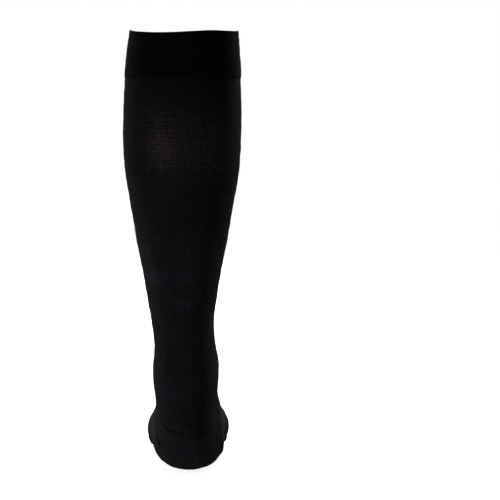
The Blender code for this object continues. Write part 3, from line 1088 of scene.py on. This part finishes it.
def knit_finish(name, knit):
    """The knit of that name, made once and shared."""
    base, relief, *depths = FINISHES[name]
    return bpy.data.materials.get(name) or knit_material(
        name, knit, getattr(knit, base), knit.relief * relief, *depths)


def add_cloth(mesh, finish, slot, node, worn_width, worn_length, knit):
    """Links a shell of knit, stops the work if it reaches too far past its solid's box, and hides
    the solid.

    The worn width and the worn length are not used.
    """
    piece = link_piece(mesh, knit_finish(finish, knit))
    check_on_node(piece, node)
    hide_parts(node)
    areas = np.empty(len(mesh.polygons))
    mesh.polygons.foreach_get("area", areas)


def add_plain(name, start, end, wall, knit):
    """Knits a smooth piece between two lines of stations."""
    build, count, widest, *looks = PLAIN[name]
    rows = wall_rows(eased(count, CROWDING), wall / MM)
    mesh = build(name, rows, start, end, angles_round(), creases,
                 (knit.needles, knit.course / MM))
    add_cloth(mesh, *looks, girth(STATION[widest]), (end - start).max(), knit)


def chosen(context):
    """The scene's settings of the pieces' sizes and of the knit."""
    return context.scene.stocking_shape, context.scene.stocking_knit


class STOCKING_OT_band(bpy.types.Operator):
    """Knit the doubled band at the knee"""
    bl_idname = "stocking.band"
    bl_label = "Band"

    def execute(self, context):
        shape, knit = chosen(context)
        angles = angles_round()
        rim = rim_line(angles, shape.rim_wave / MM, shape.rim_waves)
        edge = np.full_like(angles, shape.band_height / MM)
        step = shape.band_step / MM
        rows = band_rows(eased(BAND_ROWS, 0.0), shape.band_wall / MM, step)
        mesh = tube_mesh("band_knit", rows, rim, edge, angles,
                         lambda *place: band_relief(*place, step),
                         (knit.needles, knit.band_course / MM))
        add_cloth(mesh, "dense_black_knit", "welt_knit", "top_band", girth(edge[0]),
                  edge[0] - rim.min(), knit)
        return {"FINISHED"}


class STOCKING_OT_leg(bpy.types.Operator):
    """Knit the leg, from the band to the gore line and the heel pocket"""
    bl_idname = "stocking.leg"
    bl_label = "Leg"

    def execute(self, context):
        shape, knit = chosen(context)
        edge, _ = pocket_edges(angles_round(), shape)
        add_plain("leg_knit", shape.band_height / MM + 0 * edge, edge, shape.leg_wall, knit)
        return {"FINISHED"}


class STOCKING_OT_heel(bpy.types.Operator):
    """Knit the heel pocket, with its suture along the gore line"""
    bl_idname = "stocking.heel"
    bl_label = "Heel Pocket"

    def execute(self, context):
        shape, knit = chosen(context)
        corner = shape.pocket_corner
        rise, run = shape.pocket_rise / MM, shape.pocket_run / MM
        angles = angles_round()
        angles = angles[np.abs(angles) < corner]
        middle = (rise - shape.gore_rise / MM) / (rise + run)
        above, below = (eased(count, HEEL_CROWDING) for count in HEEL_ROWS)
        shares = np.concatenate((above * middle, middle + below[1:] * (1 - middle)))
        mesh = panel_mesh("heel_knit", wall_rows(shares, shape.pocket_wall / MM),
                          *pocket_edges(angles, shape), angles,
                          lambda *place: heel_relief(*place, shape),
                          (knit.needles, knit.course / MM),
                          lambda *place: heel_tone_and_painted_light(*place, shape))
        add_cloth(mesh, "thick_black_knit", "pocket_knit", "heel_pocket",
                  girth(STATION["gore"]) * corner / math.pi, rise + run, knit)
        return {"FINISHED"}


class STOCKING_OT_foot(bpy.types.Operator):
    """Knit the foot, from the gore line and the heel pocket to the toe seam"""
    bl_idname = "stocking.foot"
    bl_label = "Foot"

    def execute(self, context):
        shape, knit = chosen(context)
        _, edge = pocket_edges(angles_round(), shape)
        add_plain("foot_knit", edge, STATION["toe_seam"] + 0 * edge, shape.leg_wall, knit)
        return {"FINISHED"}


class STOCKING_OT_toe(bpy.types.Operator):
    """Knit the closed toe"""
    bl_idname = "stocking.toe"
    bl_label = "Toe Cap"

    def execute(self, context):
        shape, knit = chosen(context)
        seam, tip = (np.full(COLUMNS_ROUND, STATION[cut]) for cut in ("toe_seam", "tip"))
        add_plain("toe_knit", seam, tip, shape.pocket_wall, knit)
        return {"FINISHED"}


# Chains: stitches, how far they go to either side, the settings of a ply's radius and yarn, slot.
CHAINS = {
    "band_chain": (190, math.pi, "thread", "thread_colour", "welt_knit"),
    "toe_chain": (96, math.pi, "thread", "thread_colour", "pocket_knit"),
    "gore_chain": (23, math.radians(54), "gore_thread", "pocket_colour", "pocket_knit"),
}


class STOCKING_OT_threads(bpy.types.Operator):
    """Sew the chains that link the band's edge and the toe's seam, and the heel's gore line"""
    bl_idname = "stocking.threads"
    bl_label = "Seam Threads"

    def execute(self, context):
        shape, knit = chosen(context)
        seams = {
            "band_chain": lambda angle: shape.band_height / MM + CHAIN_SWING + 0 * angle,
            "toe_chain": lambda angle: STATION["toe_seam"] + 0 * angle,
            "gore_chain": lambda angle: gore_line(angle, shape)}
        for name, (stitches, reach, ply, yarn, slot) in CHAINS.items():
            mesh = thread_mesh(name, seams[name], reach, stitches, getattr(shape, ply) / MM)
            link_piece(mesh, thread_material(f"{name}_thread", getattr(knit, yarn)))
        return {"FINISHED"}


# Stage

FLOOR_GAP = 0.0003  # m
FLOOR_SIZE = 14.0  # m
FLOOR_ROUGHNESS = 0.9
GLOW_NEAR = 0.84  # the floor's glow up to GLOW_FROM,
GLOW_FROM = 0.25  # m from the centre of the rim,
GLOW_TO = 0.9  # and m where it has risen to white
LENS = 227.55  # mm
SENSOR = 36.0  # mm
CAMERA_ASIDE = 0.0631  # m
AIM_HEIGHT = -0.2076  # m

# Lamps: place from the stocking's middle, then width and height, in metres. Each takes the power
# that the stage's setting of its name gives. The bounce stands under the floor.
LAMPS = {
    "key": ((-1.7, -1.5, 0.2), (0.9, 1.2)),
    "key_behind": ((-0.8, -2.2, 0.4), (1.2, 1.2)),
    "low_key": ((-0.9, -0.9, -0.12), (0.4, 0.3)),
    "fill": ((1.5, -2.0, 0.3), (1.2, 1.4)),
    "front": ((0.0, 2.3, 0.9), (1.4, 1.0)),
    "outer_front": ((-1.3, 1.9, 0.7), (1.0, 1.0)),
    "inner_front": ((1.3, 1.9, 0.7), (1.0, 1.0)),
    "low_outer": ((-1.0, 0.75, -0.1), (0.4, 0.5)),
    "low_inner": ((1.0, 0.75, -0.1), (0.4, 0.5)),
    "overhead": ((0.0, -0.3, 2.2), (1.6, 1.6)),
    "bounce": ((0.0, -0.2, -1.0), (1.4, 1.4)),
}


def floor_material(stage):
    """A pale matt floor that glows as a lit sweep does, up to plain white away from the leg.

    From a distance of GLOW_FROM to one of GLOW_TO, the glow rises evenly from GLOW_NEAR to 1.
    """
    graph = Graph("pale_floor")
    place = graph.node("ShaderNodeTexCoord", output="Object")
    away = graph.node("ShaderNodeVectorMath", {"operation": "LENGTH"}, {0: place}, output="Value")
    glow = graph.node("ShaderNodeMapRange", inputs={
        "Value": away, "From Min": GLOW_FROM, "From Max": GLOW_TO, "To Min": GLOW_NEAR,
        "To Max": 1.0})
    graph.shade(Base_Color=(*stage.floor_colour, 1.0), Roughness=FLOOR_ROUGHNESS,
                Specular_IOR_Level=0.0, Emission_Color=graph.grey(glow), Emission_Strength=1.0)
    return graph.material


def aim(thing, target):
    """Turns a camera or a lamp to face a point."""
    thing.rotation_euler = (target - thing.location).to_track_quat("-Z", "Y").to_euler()


class STOCKING_OT_stage(bpy.types.Operator):
    """Set out the floor, the lamps, the white surround and the camera"""
    bl_idname = "stocking.stage"
    bl_label = "Stage"

    def execute(self, context):
        scene = context.scene
        stage = scene.stocking_stage
        low, high = CAD_BOX
        half = FLOOR_SIZE / 2
        mesh = bpy.data.meshes.new("floor")
        mesh.from_pydata([(x, y, low.z - FLOOR_GAP) for x, y in (
            (-half, -half), (half, -half), (half, half), (-half, half))], [], [(0, 1, 2, 3)])
        mesh.materials.append(floor_material(stage))
        floor = link(mesh)
        floor.visible_diffuse = floor.visible_glossy = floor.visible_shadow = False

        middle = (low + high) / 2
        for name, (place, size) in LAMPS.items():
            light = bpy.data.lights.new(name, "AREA")
            light.shape = "RECTANGLE"
            light.size, light.size_y = size
            light.energy = getattr(stage, name)
            lamp = link(light)
            lamp.location = middle + Vector(place)
            lamp.visible_camera = False
            aim(lamp, middle)

        world = bpy.data.worlds.new("white_surround")
        scene.world = world
        world.use_nodes = True
        world.node_tree.nodes["Background"].inputs["Color"].default_value = (1.0, 1.0, 1.0, 1.0)
        world.cycles_visibility.diffuse = world.cycles_visibility.glossy = False
        scene.view_settings.view_transform = "Standard"

        camera = link(bpy.data.cameras.new("camera"))
        camera.data.lens = LENS
        camera.data.sensor_width = SENSOR
        camera.location = (CAMERA_ASIDE, -stage.distance, 0.0)
        aim(camera, Vector((CAMERA_ASIDE, 0.0, AIM_HEIGHT)))
        scene.camera = camera
        return {"FINISHED"}


# The add-on

OPERATORS = (STOCKING_OT_band, STOCKING_OT_leg, STOCKING_OT_heel, STOCKING_OT_foot,
             STOCKING_OT_toe, STOCKING_OT_threads, STOCKING_OT_stage)


class STOCKING_PT_panel(bpy.types.Panel):
    """A button for each piece and the stage, and their settings"""
    bl_label = "Stocking"
    bl_idname = "STOCKING_PT_panel"
    bl_space_type = "VIEW_3D"
    bl_region_type = "UI"
    bl_category = "Stocking"

    def draw(self, context):
        for operator in OPERATORS:
            self.layout.operator(operator.bl_idname)
        for setting in SETTINGS:
            group = getattr(context.scene, setting)
            box = self.layout.box()
            for name in group.__annotations__:
                box.prop(group, name)


SETTINGS = {"stocking_shape": StockingShape, "stocking_knit": StockingKnit,
            "stocking_stage": StockingStage}
CLASSES = (*SETTINGS.values(), *OPERATORS, STOCKING_PT_panel)


def register():
    """Adds the classes and the scene's settings."""
    for one in CLASSES:
        bpy.utils.register_class(one)
    for name, group in SETTINGS.items():
        setattr(bpy.types.Scene, name, PointerProperty(type=group))


def unregister():
    """Takes them away again."""
    for name in SETTINGS:
        delattr(bpy.types.Scene, name)
    for one in reversed(CLASSES):
        bpy.utils.unregister_class(one)


def main():
    register()
    bpy.ops.stocking.band()
    bpy.ops.stocking.leg()
    bpy.ops.stocking.heel()
    bpy.ops.stocking.foot()
    bpy.ops.stocking.toe()
    bpy.ops.stocking.threads()
    bpy.ops.stocking.stage()


if __name__ == "__main__":
    main()
